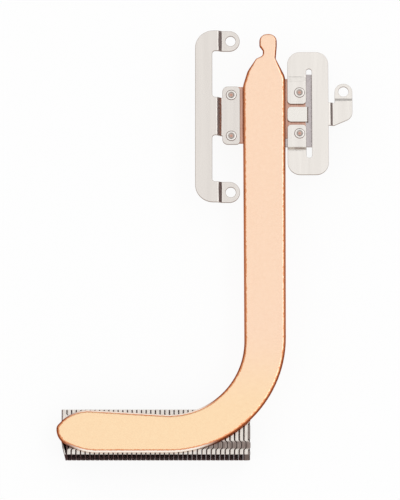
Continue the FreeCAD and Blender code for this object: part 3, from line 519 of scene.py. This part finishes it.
# painted shade in the groove at the rim's foot
outer = add_node(tree, "ShaderNodeMapRange", {
    "Value": from_pin, "From Min": FOOT_SHADE_SPAN[0] * MM, "From Max": FOOT_SHADE_SPAN[1] * MM}).outputs[0]
rim_face = add_node(tree, "ShaderNodeMix", {
    0: inner, 6: linear(RIM_STEEL), 7: linear(RIM_INSIDE)}, data_type="RGBA").outputs[2]
rim_tone = add_node(tree, "ShaderNodeMix", {
    0: outer, 6: rim_face, 7: linear(RIM_FOOT_SHADE)}, data_type="RGBA").outputs[2]
close_metal(tree, rim_tone, grain, RIM_ROUGHNESS, grain, RIM_RELIEF, STEEL_SLANT)

coined_ring, given = open_tree("coined_rims", {
    "Rim Radius": "Float", "Rim Half Width": "Float", "Rim Height": "Float"})
circle = add_node(coined_ring, "GeometryNodeCurvePrimitiveCircle", {
    "Resolution": RIM_STEPS, "Radius": given["Rim Radius"]})
section = add_node(coined_ring, "GeometryNodeCurvePrimitiveCircle", {"Resolution": RIM_SECTION_STEPS, "Radius": 1.0})
scale = add_node(coined_ring, "ShaderNodeCombineXYZ", {
    "X": given["Rim Half Width"], "Y": given["Rim Height"], "Z": 1.0})
oval = add_node(coined_ring, "GeometryNodeTransform", {"Geometry": section.outputs[0], "Scale": scale.outputs[0]})
swept = add_node(coined_ring, "GeometryNodeCurveToMesh", {
    "Curve": circle.outputs[0], "Profile Curve": oval.outputs[0]})
smooth = add_node(coined_ring, "GeometryNodeSetShadeSmooth", {"Geometry": swept.outputs[0]})
spot = add_node(coined_ring, "GeometryNodeInputPosition").outputs[0]
level_spot = add_node(coined_ring, "ShaderNodeVectorMath", {
    0: spot, 1: (1, 1, 0)}, operation="MULTIPLY").outputs[0]
radius = add_node(coined_ring, "ShaderNodeVectorMath", {0: level_spot}, operation="LENGTH").outputs["Value"]
measured = add_node(coined_ring, "GeometryNodeStoreNamedAttribute", {
    "Geometry": smooth.outputs[0], "Name": "from_pin", "Value": radius})
copies = add_node(coined_ring, "GeometryNodeInstanceOnPoints", {
    "Points": given["Geometry"], "Instance": measured.outputs[0]})
close_tree(coined_ring, copies.outputs[0], given["Metal"])
rim_points = bpy.data.meshes.new("rim_points")
rim_points.from_pydata([(x * MM, y * MM, TAB_TOP * MM) for x, y in RIVET_PLACES], [], [])
rims = grow(coined_ring, rim_points, {
    "Rim Radius": RIM_RADIUS * MM, "Rim Half Width": RIM_HALF_WIDTH * MM, "Rim Height": RIM_HEIGHT * MM,
    "Metal": coined_steel})
add_piece("coined_rims", rims, coined_steel, "spring_steel")

# Studio, in metres: a white sweep under the part in an even white surround, with four cards that draw its folds.
# The floor glows white for the camera and in reflections, and keeps part of the soft shadow.
WHITE = "#FFFFFF"
PAPER = "#F4F4F4"
FLOOR_HALF = 3.0
FLOOR_SHADOW_SHARE = 0.1
CARD_SOFTNESS = 0.08
# Colour of each card and the spans of direction that it covers
CARDS = [
    ("#4A2C29", {"X": (0.61, 1.2), "Y": (0.15, 0.38)}),
    ("#80604F", {"X": (-1.2, -0.72), "Y": (0.15, 0.38)}),
    ("#4A4644", {"X": (-0.2, 0.2), "Z": (0.55, 0.63)}),
    ("#6C6866", {"X": (-0.2, 0.2), "Z": (0.78, 0.83)}),
]
STRIP_SIZE = (0.16, 1.2)
STRIP_PLACE = (0.33, -0.03, 0.62)
STRIP_TILT = 28.0
STRIP_ENERGY = 0.6
CAMERA_PLACE = (-0.013175, -0.247234, 0.874266)
CAMERA_TILT = 14.0
CAMERA_LENS = 318.2
CAMERA_SENSOR = 36.0
CAMERA_NEAR = 0.01
floor_level = cad_box[0][2]
floor_corners = [(-FLOOR_HALF, -FLOOR_HALF), (FLOOR_HALF, -FLOOR_HALF),
                 (FLOOR_HALF, FLOOR_HALF), (-FLOOR_HALF, FLOOR_HALF)]
floor_mesh = bpy.data.meshes.new("studio_floor")
floor_mesh.from_pydata([(x, y, floor_level) for x, y in floor_corners], [], [(0, 1, 2, 3)])
floor = bpy.data.objects.new("studio_floor", floor_mesh)
bpy.context.collection.objects.link(floor)
paper = bpy.data.materials.new("white_paper")
paper.use_nodes = True
tree = paper.node_tree
tree.nodes.clear()
matt = add_node(tree, "ShaderNodeBsdfDiffuse", {"Color": linear(PAPER)})
glow = add_node(tree, "ShaderNodeEmission", {"Color": linear(WHITE), "Strength": 1.0})
rays = add_node(tree, "ShaderNodeLightPath").outputs
seen = add_node(tree, "ShaderNodeMath", {0: rays["Is Camera Ray"], 1: rays["Is Glossy Ray"]}, operation="MAXIMUM")
shown = add_node(tree, "ShaderNodeMath", {0: seen.outputs[0], 1: rays["Is Transmission Ray"]}, operation="MAXIMUM")
share = add_node(tree, "ShaderNodeMath", {0: shown.outputs[0], 1: 1 - FLOOR_SHADOW_SHARE}, operation="MULTIPLY")
surface = add_node(tree, "ShaderNodeMixShader", {0: share.outputs[0], 1: matt.outputs[0], 2: glow.outputs[0]})
add_node(tree, "ShaderNodeOutputMaterial", {"Surface": surface.outputs[0]})
floor_mesh.materials.append(paper)

world = bpy.data.worlds.new("soft_studio")
bpy.context.scene.world = world
world.use_nodes = True
tree = world.node_tree
tree.nodes.clear()
toward = add_node(tree, "ShaderNodeTexCoord").outputs["Generated"]
along = add_node(tree, "ShaderNodeSeparateXYZ", {"Vector": toward}).outputs
surround = linear(WHITE)
for card, spans in CARDS:
    cover = 1.0
    for axis, (near, far) in spans.items():
        off = add_node(tree, "ShaderNodeMath", {0: along[axis], 1: (near + far) / 2}, operation="SUBTRACT")
        apart = add_node(tree, "ShaderNodeMath", {0: off.outputs[0]}, operation="ABSOLUTE")
        half = (far - near) / 2
        within = add_node(tree, "ShaderNodeMapRange", {
            "Value": apart.outputs[0], "From Min": half + CARD_SOFTNESS / 2, "From Max": half - CARD_SOFTNESS / 2},
            interpolation_type="SMOOTHSTEP")
        cover = add_node(tree, "ShaderNodeMath", {0: cover, 1: within.outputs[0]}, operation="MULTIPLY").outputs[0]
    surround = add_node(tree, "ShaderNodeMix", {
        0: cover, 6: surround, 7: linear(card)}, data_type="RGBA").outputs[2]
studio = add_node(tree, "ShaderNodeBackground", {"Color": surround, "Strength": 1.0})
white = add_node(tree, "ShaderNodeBackground", {"Color": linear(WHITE), "Strength": 1.0})
rays = add_node(tree, "ShaderNodeLightPath").outputs
sky = add_node(tree, "ShaderNodeMixShader", {0: rays["Is Camera Ray"], 1: studio.outputs[0], 2: white.outputs[0]})
add_node(tree, "ShaderNodeOutputWorld", {"Surface": sky.outputs[0]})

strip_lamp = bpy.data.lights.new("side_strip", "AREA")
strip_lamp.shape = "RECTANGLE"
strip_lamp.size, strip_lamp.size_y = STRIP_SIZE
strip_lamp.energy = STRIP_ENERGY
strip = bpy.data.objects.new("side_strip", strip_lamp)
strip.location = STRIP_PLACE
strip.rotation_euler = (0, math.radians(STRIP_TILT), 0)
bpy.context.collection.objects.link(strip)

camera_data = bpy.data.cameras.new("photo_camera")
camera_data.sensor_fit = "VERTICAL"
camera_data.sensor_height = CAMERA_SENSOR
camera_data.lens = CAMERA_LENS
camera_data.clip_start = CAMERA_NEAR
camera = bpy.data.objects.new("photo_camera", camera_data)
camera.location = CAMERA_PLACE
camera.rotation_euler = (math.radians(CAMERA_TILT), 0, 0)
bpy.context.collection.objects.link(camera)
bpy.context.scene.camera = camera
bpy.context.scene.view_settings.view_transform = "Standard"
